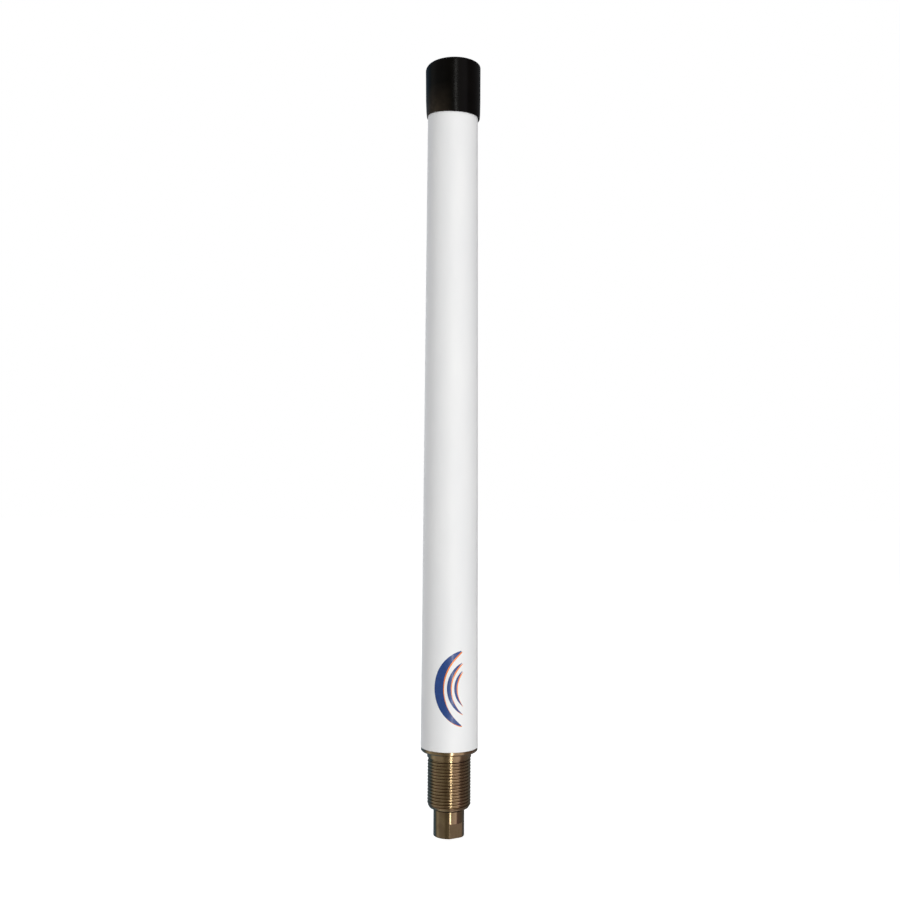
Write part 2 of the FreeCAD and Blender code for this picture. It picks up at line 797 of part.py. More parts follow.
def build():
    """Every sub-part, from the bottom up."""
    fill_sheet()
    parts = [
        connector_housing(),
        housing_gasket(),
        jack_shell(),
        jack_insulator(),
        jack_contact(),
        jack_washer(),
        jack_nut(),
        crimp_sleeve(),
        ferrule(),
        spigot_seal("spigot_seal_lower", "seal_height_lower"),
        spigot_seal("spigot_seal_upper", "seal_height_upper"),
        coax_conductor(),
        coax_dielectric(),
        coax_braid(),
        coax_jacket(),
        *choke_beads(),
        bead_heatshrink(),
        dipole_sleeve(),
        sleeve_end_plate(),
        sleeve_spacer(),
        feed_insulator(),
        lower_radiator(),
        *coil_collars(),
        coil_former(),
        phasing_coil(),
        upper_radiator(),
        radiator_tip(),
        *foam_spacers(),
        radome(),
        top_plug(),
        end_cap(),
    ]
    DOC.recompute()
    return parts


def check(parts):
    for thing in DOC.Objects:
        if {"Invalid", "Error"} & set(thing.State):
            raise RuntimeError(f"{thing.Label} failed: {thing.State}")
    for part in parts:
        if part.Shape.isNull() or not part.Shape.isValid() or not part.Shape.Solids:
            raise RuntimeError(f"{part.Label} has no valid solid")


def export(parts):
    os.makedirs("parts", exist_ok=True)
    for part in parts:
        part.Shape.exportStep(os.path.join("parts", part.Label + ".step"))
        print(f"{part.Label}: {part.Shape.Volume:.1f} mm3, {len(part.Shape.Solids)} solid")


PARTS = build()
check(PARTS)
export(PARTS)
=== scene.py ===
import json
import math
from collections import namedtuple

import bmesh
import bpy
from mathutils import Euler, Matrix, Vector

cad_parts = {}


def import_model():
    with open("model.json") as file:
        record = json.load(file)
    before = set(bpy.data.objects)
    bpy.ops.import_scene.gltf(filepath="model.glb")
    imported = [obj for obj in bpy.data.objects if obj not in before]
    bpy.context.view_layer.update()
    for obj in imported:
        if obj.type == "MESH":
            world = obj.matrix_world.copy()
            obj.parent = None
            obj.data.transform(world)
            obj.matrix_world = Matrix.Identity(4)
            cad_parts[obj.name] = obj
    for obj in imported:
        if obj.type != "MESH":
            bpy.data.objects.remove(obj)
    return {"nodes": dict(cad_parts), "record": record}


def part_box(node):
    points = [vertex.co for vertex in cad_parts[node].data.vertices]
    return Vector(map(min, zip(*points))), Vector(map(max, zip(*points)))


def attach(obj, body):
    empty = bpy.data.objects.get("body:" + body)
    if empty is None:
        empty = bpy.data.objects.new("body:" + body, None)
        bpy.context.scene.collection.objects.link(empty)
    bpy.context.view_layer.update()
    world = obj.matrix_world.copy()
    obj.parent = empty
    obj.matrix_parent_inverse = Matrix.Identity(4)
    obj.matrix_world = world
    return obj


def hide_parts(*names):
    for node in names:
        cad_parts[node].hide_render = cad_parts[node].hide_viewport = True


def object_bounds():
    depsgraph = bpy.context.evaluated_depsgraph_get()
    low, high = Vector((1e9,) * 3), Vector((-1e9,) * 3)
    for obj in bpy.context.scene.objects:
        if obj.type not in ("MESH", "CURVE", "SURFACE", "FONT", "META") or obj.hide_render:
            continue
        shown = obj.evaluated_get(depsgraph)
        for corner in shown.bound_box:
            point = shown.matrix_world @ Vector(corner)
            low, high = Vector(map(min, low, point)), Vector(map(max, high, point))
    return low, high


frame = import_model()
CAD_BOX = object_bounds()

# Omnidirectional antenna: the looks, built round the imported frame.
# Metres, Z up the antenna's axis, origin on the seating plane under the flange.
MM = 0.001
SEGMENTS = 192  # columns of a lathed skin
MERGE_DISTANCE = 0.5e-6
NEAR = 0.01 * MM  # closer than this counts as the same place

# a thread's outer radius, its depth and pitch, and how wide the flats on its crest and in its root are
Thread = namedtuple("Thread", "radius depth pitch crest root")

# ---- places that come from the frame ----
CAP_LOW, CAP_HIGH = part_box("end_cap")
TUBE_LOW, TUBE_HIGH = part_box("radome")
FERRULE_LOW, FERRULE_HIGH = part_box("ferrule")
NECK_LOW, NECK_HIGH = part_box("connector_housing")
JACK_LOW, JACK_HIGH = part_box("jack_shell")
PLUG_LOW, PLUG_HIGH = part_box("top_plug")
GASKET_LOW, GASKET_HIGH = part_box("housing_gasket")
FLOOR_Z = CAD_BOX[0].z

# ---- how far edges are rounded ----
EDGE_TIGHT = 0.05 * MM
EDGE_CRISP = 0.1 * MM
EDGE_BROKEN = 0.15 * MM
EDGE_EASED = 0.2 * MM
EDGE_ROUND = 0.3 * MM
EDGE_SOFT = 0.4 * MM
EDGE_FULL = 0.5 * MM
INSIDE_FILLET = 0.8 * MM

# ---- where a thread's rows lie ----
CREST_STOPS = (0.0, 0.7, 1.25)  # shares of half the crest, from its middle
FLANK_STOPS = (0.12, 0.5, 0.88, 0.98)  # shares of the flank, from the crest's edge
FLANK_CURVE = 0.2  # 0 for a straight flank, 1 for an S-shaped one

# ---- the ferrule ----
COLLAR_RADIUS = 12.9 * MM
COLLAR_LENGTH = 3.3 * MM
MOUNTING_THREAD = Thread(
    radius=12.65 * MM, depth=0.85 * MM, pitch=25.4 / 14 * MM, crest=0.5 * MM, root=0.3 * MM
)
RUN_OUT_STEP = 0.25 * MM  # how far the thread's upper end stands out from the relief
RUN_OUT_SLOPE = 1.6  # and how steeply it grows from there
LEAD_IN_RADIUS = 11.5 * MM
LEAD_IN_LENGTH = 1.9 * MM
RELIEF_WIDTH = 0.9 * MM
RELIEF_UNDERCUT = 0.05 * MM
COLLAR_EDGE = 0.18 * MM
FLANGE_THICKNESS = 2.3 * MM
FLANGE_CHAMFER = 0.7 * MM
FLANGE_EDGE = 0.12 * MM
SPIGOT_RADIUS = 14.5 * MM
SPIGOT_CUP_RADIUS = 11.4 * MM
SPIGOT_CUP_FLOOR = 5.0 * MM
SEAL_GROOVE_RADIUS = 12.75 * MM
SEAL_GROOVE_WIDTH = 2.3 * MM
SEAL_GROOVE_EDGE = 0.08 * MM
SEAL_HEIGHTS = (11 * MM, 24 * MM)
CABLE_BORE_RADIUS = 4.6 * MM
HOUSING_BORE_RADIUS = 7.0 * MM
HOUSING_BORE_TOP = -11.5 * MM

# ---- the neck and its gasket ----
NECK_RADIUS = 9.0 * MM
NECK_TOP = -33.3 * MM
SHANK_RADIUS = 6.95 * MM
SOCKET_RADIUS = 6.3 * MM
SOCKET_FLOOR = -34.9 * MM
JACK_HOLE_RADIUS = 4.05 * MM
FLATS_DISTANCE = 8.0 * MM
FLATS_LENGTH = 8.4 * MM
FLATS_TURN = math.radians(30)
FLATS_GAP = 0.006  # radians on both sides of a flat's edge without another column
GASKET_CLEARANCE = 0.1 * MM

# ---- the jack ----
JACK_THREAD = Thread(radius=4.0 * MM, depth=0.46 * MM, pitch=0.75 * MM, crest=0.1 * MM, root=0.12 * MM)
JACK_CHAMFER = 0.42 * MM
JACK_RELIEF = 0.5 * MM
JACK_FLANGE_RADIUS = 5.6 * MM
JACK_FLANGE_THICKNESS = 1.5 * MM
JACK_FLANGE_EDGE = 0.25 * MM
JACK_BARREL_RADIUS = 3.95 * MM
JACK_BARREL_TOP = -15.6 * MM
JACK_SPIGOT_RADIUS = 2.475 * MM
JACK_CABLE_RADIUS = 1.525 * MM
JACK_BORE_RADIUS = 3.05 * MM
JACK_BORE_TOP = -18.0 * MM

# ---- the tube and its top plug ----
TUBE_BASE_RADIUS = 16.755 * MM  # just within the flat facets of the CAD's tube
TUBE_TIP_RADIUS = 15.05 * MM
TUBE_WALL = 2.0 * MM
PLUG_WALL = 1.6 * MM
PLUG_CHAMFER = 1.0 * MM
PLUG_CLEARANCE = 0.05 * MM
PLUG_STEP = 0.4 * MM  # how deep the floor is stepped
PLUG_STEP_TOP = 0.6  # the step's edge and foot, as shares of the inner radius
PLUG_STEP_FOOT = 0.57
GATE_RADIUS = 1.6 * MM
GATE_TOP_RADIUS = 1.4 * MM
GATE_SINK = 0.1 * MM  # how far the gate mark stays under the floor

# ---- the cap ----
CAP_BORE_RADIUS = 15.35 * MM
CAP_CLEARANCE = 0.04 * MM  # between the cap and its box in the CAD
CAP_ROOF = 2.15 * MM
CAP_SAG = 0.25 * MM  # how far the roof dips in its middle
CAP_RIM_WALL = 0.68 * MM
CAP_BARREL = ((0.36 * MM, 3.2 * MM, 4 * MM), (0.14 * MM, 11 * MM, 30 * MM))  # inset, height, rounding
CAP_SHARP_SHOULDER = 0.7 * MM  # rounding of the top edge on +X
CAP_SOFT_SHOULDER = 2.9 * MM  # and on -X
CAP_LEAN = 0.3 * MM  # how far the outside of the rim leans towards +X
CAP_LEAN_DEPTH = 0.5 * MM  # the lean sets in over this much of the wall, from the bore outwards
RIM_LIFT = 0.95 * MM  # the rim's mean height above the low end of the cap's box
RIM_TILT = 0.5 * MM  # how much one side of the rim is higher than the middle, along X and along Y
RIM_WAVE = 0.45 * MM  # how much it is higher at both ends of X, and lower at both ends of Y
PAINTED_SHEEN_HEIGHT = 18 * MM  # how far up from the rim the painted brown sheen reaches

# ---- the emblem ----
EMBLEM_HEIGHT = 38.5 * MM
EMBLEM_FOCUS = 17 * MM  # the arcs' common centre, towards +X
EMBLEM_WAVES = (  # radius, half of the arc's span in radians, half of the width
    (23.4 * MM, 1.12, 2.7 * MM),
    (17.4 * MM, 0.98, 1.15 * MM),
    (13.6 * MM, 0.80, 0.75 * MM),
)
EMBLEM_BLUE = (0.009, 0.048, 0.215)
EMBLEM_ORANGE = (0.90, 0.26, 0.035)
CRESCENT_CURVE = 0.6  # below 1 keeps a crescent wide towards its tips
CRESCENT_TIP = 0.12  # its narrowest, as a share of its widest
SHADOW_SHIFT = (0.55 * MM, -0.6 * MM)
SHADOW_LIFT = 0.022 * MM
WAVES_LIFT = 0.045 * MM
INK_THICKNESS = 0.02 * MM
CRESCENT_STEPS = 48
CRESCENT_ROWS = 4

# ---- the stage ----
FLOOR_HALF_SIZE = 20.0
FLOOR_GAP = 0.2 * MM
FLOOR_GLOW = 1.35
LIGHT_HEIGHT = 0.18
KEY_HEIGHT = 0.06
FILL_SIZE = (1.0, 1.6)
CAMERA_LENS = 40.76  # with the sensor's width, in Blender's millimetres
CAMERA_SENSOR = 36
CAMERA_CLIP = 0.01
CAMERA_PLACE = (-0.57 * MM, -0.607, 0.1399)
CAMERA_PITCH = 3.44  # degrees above level
CAMERA_ROLL = 0.34  # degrees
AMBIENT = (0.325, 0.325, 0.33)
SURROUND_STRENGTH = 1.15
# what the antenna mirrors, by degrees round it from the camera's side, positive to its right
SURROUND = (
    (-90, (0.66, 0.66, 0.64)),
    (-74, (0.44, 0.43, 0.42)),
    (-36, (0.42, 0.40, 0.37)),
    (-22, (0.23, 0.21, 0.17)),
    (14, (0.30, 0.27, 0.23)),
    (24, (0.90, 0.80, 0.80)),
    (56, (1.20, 1.08, 1.16)),
    (64, (0.28, 0.22, 0.23)),
    (120, (0.20, 0.19, 0.20)),
    (180, (0.10, 0.12, 0.13)),
    (236, (0.13, 0.23, 0.34)),
    (248, (0.16, 0.21, 0.24)),
    (256, (0.46, 0.45, 0.42)),
    (270, (0.66, 0.66, 0.64)),
)


# ---- mesh helpers ----


def new_piece(name, bm, material, body, sharp=35.0):
    """Makes the bmesh an object that rides on a body and has the given material. Bends over `sharp` degrees
    stay hard.
    """
    bmesh.ops.remove_doubles(bm, verts=bm.verts, dist=MERGE_DISTANCE)
    bmesh.ops.dissolve_degenerate(bm, edges=bm.edges, dist=MERGE_DISTANCE)
    bmesh.ops.recalc_face_normals(bm, faces=bm.faces)
    mesh = bpy.data.meshes.new(name)
    bm.to_mesh(mesh)
    bm.free()
    mesh.polygons.foreach_set("use_smooth", [True] * len(mesh.polygons))
    mesh.set_sharp_from_angle(angle=math.radians(sharp))
    mesh.materials.append(material)
    piece = bpy.data.objects.new(name, mesh)
    bpy.context.scene.collection.objects.link(piece)
    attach(piece, body)
    return piece


def rounded(corners, steps=5):
    """A closed (radius, height) outline from (radius, height, rounding) corners, each rounding an arc."""
    outline = []
    count = len(corners)
    for i, (r, z, size) in enumerate(corners):
        corner = Vector((r, z))
        if not size:
            outline.append(corner)
            continue
        before = (Vector(corners[i - 1][:2]) - corner).normalized()
        after = (Vector(corners[(i + 1) % count][:2]) - corner).normalized()
        half = before.angle(after) / 2
        reach = size / math.tan(half)
        centre = corner + (before + after).normalized() * (size / math.sin(half))
        start = corner + before * reach - centre
        sweep = start.angle_signed(corner + after * reach - centre)
        for step in range(steps + 1):
            spoke = start.copy()
            spoke.rotate(Matrix.Rotation(-sweep * step / steps, 2))
            outline.append(centre + spoke)
    return outline


def ring_rows(outline):
    """Rows of a lathe: each gives the same radius and height at every angle."""
    return [lambda angle, r=p[0], z=p[1]: (r, z) for p in outline]


def revolve(rows, angles=None):
    """A closed skin from rows of functions angle -> (radius, height), joined in a loop."""
    angles = angles or [math.tau * i / SEGMENTS for i in range(SEGMENTS + 1)]
    bm = bmesh.new()
    grid = []
    for row in rows:
        line = []
        for angle in angles:
            r, z = row(angle)
            line.append(bm.verts.new((r * math.cos(angle), r * math.sin(angle), z)))
        grid.append(line)
    for i, line in enumerate(grid):
        above = grid[(i + 1) % len(grid)]
        for j in range(len(angles) - 1):
            bm.faces.new((line[j], line[j + 1], above[j + 1], above[j]))
    return bm


def thread_rows(thread, low, high, limit):
    """Rows that follow a right-hand helix between two heights. limit(height) is the largest radius there."""
    pitch = thread.pitch
    half_crest = thread.crest / 2
    flank = (pitch - thread.root) / 2 - half_crest
    # distances from the crest's middle, closer together where the profile turns
    stops = [share * half_crest for share in CREST_STOPS]
    stops += [half_crest + share * flank for share in FLANK_STOPS]
    offsets = [-s for s in reversed(stops)] + stops[1:] + [pitch / 2]

    def profile(along):
        """Radius at a distance along the axis from the nearest crest."""
        off = abs((along + pitch / 2) % pitch - pitch / 2)
        share = min(max((off - half_crest) / flank, 0.0), 1.0)
        soft = share * share * (3 - 2 * share)
        return thread.radius - thread.depth * (share + FLANK_CURVE * (soft - share))

    def row_at(start):
        def row(angle):
            lift = pitch * angle / math.tau
            z = min(max(start + lift, low), high)
            return min(profile(z - low - lift), limit(z)), z

        return row

    turns = math.ceil((high - low) / pitch) + 2
    return [row_at(low + (turn - 1) * pitch + offset) for turn in range(turns) for offset in offsets]


# ---- materials ----

NOISE_LOW, NOISE_HIGH = 0.3, 0.7


def set_stops(node, stops):
    """Fills a colour ramp node from (position, colour) stops."""
    elements = node.color_ramp.elements
    while len(elements) < len(stops):
        elements.new(0.5)
    for element, (position, colour) in zip(elements, stops):
        element.position = position
        element.color = (*colour, 1.0)


class Nodes:
    """A small helper that builds one node material."""

    def __init__(self, name):
        self.material = bpy.data.materials.new(name)
        self.material.use_nodes = True
        self.tree = self.material.node_tree
        self.shader = self.tree.nodes["Principled BSDF"]
        self.place = self.add("ShaderNodeTexCoord").outputs["Object"]

    def add(self, kind, **settings):
        node = self.tree.nodes.new(kind)
        for key, value in settings.items():
            setattr(node, key, value)
        return node

    def link(self, out, into):
        self.tree.links.new(out, into)

    def scaled(self, scale):
        """Object coordinates stretched by a three-way scale."""
        mapping = self.add("ShaderNodeMapping")
        mapping.inputs["Scale"].default_value = scale
        self.link(self.place, mapping.inputs["Vector"])
        return mapping.outputs["Vector"]

    def noise(self, scale, detail=4.0, roughness=0.55, stretch=(1, 1, 1)):
        texture = self.add("ShaderNodeTexNoise")
        texture.inputs["Scale"].default_value = scale
        texture.inputs["Detail"].default_value = detail
        texture.inputs["Roughness"].default_value = roughness
        self.link(self.scaled(stretch), texture.inputs["Vector"])
        return texture.outputs["Fac"]

    def wave(self, scale, direction, distortion):
        """Bands across one axis."""
        texture = self.add("ShaderNodeTexWave", bands_direction=direction)
        texture.inputs["Scale"].default_value = scale
        texture.inputs["Distortion"].default_value = distortion
        texture.inputs["Detail Scale"].default_value = 2.0
        self.link(self.place, texture.inputs["Vector"])
        return texture.outputs["Fac"]

    def ramp(self, value, stops):
        node = self.add("ShaderNodeValToRGB")
        set_stops(node, stops)
        self.link(value, node.inputs["Fac"])
        return node.outputs["Color"]

    def mottle(self, value, dark, light):
        """Two colours blended over the range that noise mostly fills."""
        return self.ramp(value, [(NOISE_LOW, dark), (NOISE_HIGH, light)])

    def remap(self, value, low, high, from_low=NOISE_LOW, from_high=NOISE_HIGH):
        """A value stretched to a new range, from the one that noise mostly fills unless another is given."""
        node = self.add("ShaderNodeMapRange")
        node.inputs["From Min"].default_value = from_low
        node.inputs["From Max"].default_value = from_high
        node.inputs["To Min"].default_value = low
        node.inputs["To Max"].default_value = high
        self.link(value, node.inputs["Value"])
        return node.outputs["Result"]

    def split(self, axis):
        """One of the object coordinates, in metres."""
        node = self.add("ShaderNodeSeparateXYZ")
        self.link(self.place, node.inputs["Vector"])
        return node.outputs[axis]

    def times(self, first, second):
        node = self.add("ShaderNodeMath", operation="MULTIPLY")
        self.link(first, node.inputs[0])
        self.link(second, node.inputs[1])
        return node.outputs["Value"]

    def mix(self, factor, first, second, blend="MIX"):
        """Two colours mixed. The node's colour sockets share their names with others, so they go by place."""
        node = self.add("ShaderNodeMix", data_type="RGBA", blend_type=blend)
        sockets = (node.inputs["Factor"], node.inputs[6], node.inputs[7])
        for socket, value in zip(sockets, (factor, first, second)):
            if isinstance(value, bpy.types.NodeSocket):
                self.link(value, socket)
            elif isinstance(value, tuple):
                socket.default_value = (*value, 1.0)
            else:
                socket.default_value = value
        return node.outputs[2]

    def bump(self, height, distance, normal=None):
        node = self.add("ShaderNodeBump")
        node.inputs["Distance"].default_value = distance
        self.link(height, node.inputs["Height"])
        if normal:
            self.link(normal, node.inputs["Normal"])
        return node.outputs["Normal"]

    def finish(self, colour, roughness, normal=None, **sockets):
        """Links the colour, the roughness and the normal, and sets the shader's other sockets."""
        self.link(colour, self.shader.inputs["Base Color"])
        self.link(roughness, self.shader.inputs["Roughness"])
        if normal:
            self.link(normal, self.shader.inputs["Normal"])
        for socket, value in sockets.items():
            self.shader.inputs[socket.replace("_", " ")].default_value = value
        return self.material


def shade(colour, factor):
    """The colour made darker or lighter by a factor."""
    return tuple(channel * factor for channel in colour)


def gelcoat():
    """Satin white gelcoat over glass fibre, with very faint flow along the tube."""
    n = Nodes("gelcoat_white")
    clouds = n.noise(60, detail=3, stretch=(1, 1, 0.25))
    colour = n.mottle(clouds, (0.83, 0.835, 0.845), (0.88, 0.882, 0.885))
    rough = n.remap(n.noise(220, detail=4), 0.46, 0.56)
    flow = n.bump(n.noise(90, detail=2, stretch=(1, 1, 0.15)), 0.03 * MM)
    grain = n.bump(n.noise(2600, detail=2), 0.004 * MM, normal=flow)
    return n.finish(colour, rough, grain, Specular_IOR_Level=0.4)


def vinyl():
    """Dip-moulded black vinyl: soft sheen, faint orange peel, and a painted brown sheen low down and stronger
    on -X, towards the rim.
    """
    n = Nodes("vinyl_black")
    black = n.mottle(n.noise(120, detail=4), (0.0012, 0.0011, 0.0009), (0.0024, 0.0021, 0.0017))
    # painted sheen: a lighter brown laid low down, stronger on the -X side and in patches, standing in for a
    # reflection
    painted_sheen_brown = (0.062, 0.047, 0.032)
    low = n.remap(n.split("Z"), 1.0, 0.0, from_low=CAP_LOW.z, from_high=CAP_LOW.z + PAINTED_SHEEN_HEIGHT)
    left = n.remap(n.split("X"), 1.0, 0.0, from_low=-CAP_HIGH.x, from_high=0.0)
    patchy = n.remap(n.noise(190, detail=5), 0.45, 1.0)
    painted_sheen_mask = n.times(n.times(low, left), patchy)
    colour = n.mix(painted_sheen_mask, black, painted_sheen_brown)
    rough = n.remap(n.noise(260, detail=5), 0.20, 0.30)
    slow = n.bump(n.noise(90, detail=1, stretch=(1, 1, 0.5)), 0.025 * MM)
    peel = n.bump(n.noise(1500, detail=3), 0.003 * MM, normal=slow)
    return n.finish(colour, rough, peel, Specular_IOR_Level=0.055)


def bronzed_brass(name, roughness, painted_shade_factor=1.0, milled=False):
    """Brass browned by age, its colour darkened by a factor as painted shade: turning marks round it, or
    milling marks across X.
    """
    n = Nodes(name)
    patches = n.noise(110, detail=3, roughness=0.5)
    brown = (0.240, 0.172, 0.100)
    gold = (0.292, 0.222, 0.128)
    pink = (0.305, 0.208, 0.134)
    # painted shade: every tone is scaled by the factor, which makes darker copies of one brass
    stops = [(place, shade(tint, painted_shade_factor)) for place, tint in ((0.30, brown), (0.52, gold), (0.72, pink))]
    tone = n.ramp(patches, stops)
    spots = n.ramp(n.noise(1100, detail=3), [(0.34, (0.80, 0.76, 0.72)), (0.48, (1.0, 1.0, 1.0))])
    spottiness = 0.6
    colour = n.mix(spottiness, tone, spots, "MULTIPLY")
    rough = n.remap(n.noise(500, detail=4), *roughness)
    scale, direction = (1500, "X") if milled else (2600, "Z")
    cut = n.bump(n.wave(scale, direction, distortion=1.2), 0.0012 * MM)
    pits = n.bump(n.noise(1900, detail=2), 0.0007 * MM, normal=cut)
    return n.finish(colour, rough, pits, Metallic=1.0)


def turned_metal(name, base, roughness=(0.18, 0.30)):
    """A clean turned metal: fine rings along the axis and slightly uneven tone."""
    n = Nodes(name)
    tone = n.mottle(n.noise(240, detail=4), shade(base, 0.88), shade(base, 1.06))
    rough = n.remap(n.noise(700, detail=4), *roughness)
    normal = n.bump(n.wave(2200, "Z", distortion=0.8), 0.003 * MM)
    return n.finish(tone, rough, normal, Metallic=1.0)


def moulded(name, base, roughness=(0.38, 0.52), grain=0.006 * MM):
    """Moulded, extruded or pressed material with a fine grain."""
    n = Nodes(name)
    tone = n.mottle(n.noise(320, detail=4), shade(base, 0.86), shade(base, 1.08))
    rough = n.remap(n.noise(600, detail=4), *roughness)
    return n.finish(tone, rough, n.bump(n.noise(2200, detail=3), grain))


def translucent(name, base):
    """Milky plastic, or clear resin over glass fibre."""
    n = Nodes(name)
    tone = n.mottle(n.noise(260, detail=3), shade(base, 0.93), base)
    rough = n.remap(n.noise(500, detail=3), 0.34, 0.46)
    normal = n.bump(n.noise(1800, detail=2), 0.004 * MM)
    return n.finish(tone, rough, normal, Subsurface_Weight=0.25, Subsurface_Scale=1.5 * MM)


def foam():
    """Closed-cell foam: small cells in bump and tone."""
    n = Nodes("foam_white")
    cells = n.add("ShaderNodeTexVoronoi")
    cells.inputs["Scale"].default_value = 1100
    n.link(n.place, cells.inputs["Vector"])
    distance = cells.outputs["Distance"]
    tone = n.ramp(distance, [(0.0, (0.83, 0.83, 0.82)), (0.8, (0.62, 0.62, 0.61))])
    rough = n.remap(n.noise(300, detail=2), 0.85, 0.95)
    return n.finish(tone, rough, n.bump(distance, -0.25 * MM))


def print_ink(name, base):
    """Screen-printed ink with slightly uneven coverage."""
    n = Nodes(name)
    tone = n.ramp(n.noise(700, detail=5), [(0.32, shade(base, 0.86)), (0.68, shade(base, 1.12))])
    rough = n.remap(n.noise(900, detail=3), 0.32, 0.42)
    return n.finish(tone, rough, n.bump(n.noise(2400, detail=2), 0.003 * MM), Coat_Weight=0.2)


SLOT_MATERIALS = {
    "black_vinyl": vinyl(),
    "white_gelcoat": gelcoat(),
    "bronzed_brass": bronzed_brass("brass_bronzed", (0.15, 0.21)),
    "black_rubber": moulded("rubber_black", (0.012, 0.012, 0.012), (0.60, 0.78), grain=0.012 * MM),
    "nickel_plate": turned_metal("nickel_bright", (0.62, 0.58, 0.52)),
    "gold_plate": turned_metal("gold_flash", (0.95, 0.66, 0.26)),
    "zinc_steel": turned_metal("steel_zinc", (0.55, 0.56, 0.60), (0.28, 0.42)),
    "ptfe": translucent("ptfe_white", (0.86, 0.86, 0.84)),
    "copper": turned_metal("copper_drawn", (0.80, 0.36, 0.20), (0.22, 0.36)),
    "polyethylene": translucent("polyethylene_natural", (0.80, 0.78, 0.70)),
    "tinned_braid": turned_metal("tinned_copper", (0.62, 0.59, 0.54), (0.26, 0.40)),
    "black_jacket": moulded("jacket_black", (0.018, 0.018, 0.019)),
    "ferrite": moulded("ferrite_grey", (0.050, 0.048, 0.052), (0.45, 0.68), grain=0.02 * MM),
    "black_heatshrink": moulded("heatshrink_black", (0.016, 0.016, 0.017), (0.40, 0.55), grain=0.01 * MM),
    "bright_brass": turned_metal("brass_bright", (0.78, 0.57, 0.25), (0.20, 0.32)),
    "fibreglass_rod": translucent("fibreglass_green", (0.62, 0.66, 0.42)),
    "black_plastic": moulded("plastic_black", (0.022, 0.022, 0.022)),
    "white_foam": foam(),
    "grey_plastic": moulded("plastic_grey", (0.33, 0.34, 0.35)),
}
NODE_SLOTS = {row["node"]: row["material_slot"] for row in frame["record"]["subparts"]}


def dress_nodes():
    """Gives every carried-over CAD node the material of its slot."""
    for name, node in frame["nodes"].items():
        node.data.materials.clear()
        node.data.materials.append(SLOT_MATERIALS[NODE_SLOTS[name]])


def stand_in(name, node, bm, body="antenna", sharp=50):
    """The finished look of one CAD node: rides on its body, takes its slot and is drawn in its place."""
    slot = NODE_SLOTS[node]
    piece = new_piece(name, bm, SLOT_MATERIALS[slot], body, sharp)
    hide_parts(node)
    return piece


# ---- the ferrule, the neck and the jack ----


def ferrule():
    """Flange, collar, mounting thread and the hollow spigot with its two seal grooves."""
    low, flange_radius = FERRULE_LOW.z, FERRULE_HIGH.x
    thread_top = -COLLAR_LENGTH - RELIEF_WIDTH
    relief_radius = MOUNTING_THREAD.radius - MOUNTING_THREAD.depth - RELIEF_UNDERCUT
    lead_in_slope = (MOUNTING_THREAD.radius - LEAD_IN_RADIUS) / LEAD_IN_LENGTH

    def limit(z):
        """The lead-in's taper at the lower end and the run-out at the upper."""
        taper = LEAD_IN_RADIUS + (z - low) * lead_in_slope
        run_out = relief_radius + RUN_OUT_STEP + (thread_top - z) * RUN_OUT_SLOPE
        return min(taper, run_out)

    upper = [
        (relief_radius, thread_top, 0),
        (relief_radius, -COLLAR_LENGTH, EDGE_CRISP),
        (COLLAR_RADIUS, -COLLAR_LENGTH, COLLAR_EDGE),
        (COLLAR_RADIUS, 0, EDGE_BROKEN),
        (flange_radius - FLANGE_CHAMFER, 0, FLANGE_EDGE),
        (flange_radius, FLANGE_CHAMFER, EDGE_EASED),
        (flange_radius, FLANGE_THICKNESS, FLANGE_EDGE),
        (SPIGOT_RADIUS, FLANGE_THICKNESS, EDGE_CRISP),
    ]
    for height in SEAL_HEIGHTS:
        below, above = height - SEAL_GROOVE_WIDTH / 2, height + SEAL_GROOVE_WIDTH / 2
        upper += [
            (SPIGOT_RADIUS, below, SEAL_GROOVE_EDGE),
            (SEAL_GROOVE_RADIUS, below, EDGE_BROKEN),
            (SEAL_GROOVE_RADIUS, above, EDGE_BROKEN),
            (SPIGOT_RADIUS, above, SEAL_GROOVE_EDGE),
        ]
    upper += [
        (SPIGOT_RADIUS, FERRULE_HIGH.z, EDGE_SOFT),
        (SPIGOT_CUP_RADIUS, FERRULE_HIGH.z, EDGE_EASED),
        (SPIGOT_CUP_RADIUS, SPIGOT_CUP_FLOOR, EDGE_FULL),
        (CABLE_BORE_RADIUS, SPIGOT_CUP_FLOOR, EDGE_EASED),
        (CABLE_BORE_RADIUS, HOUSING_BORE_TOP, EDGE_BROKEN),
        (HOUSING_BORE_RADIUS, HOUSING_BORE_TOP, EDGE_BROKEN),
        (HOUSING_BORE_RADIUS, low, EDGE_CRISP),
        (LEAD_IN_RADIUS, low, 0),
    ]
    thread = thread_rows(MOUNTING_THREAD, low, thread_top, limit)
    stand_in("ferrule_brass", "ferrule", revolve(thread + ring_rows(rounded(upper))))


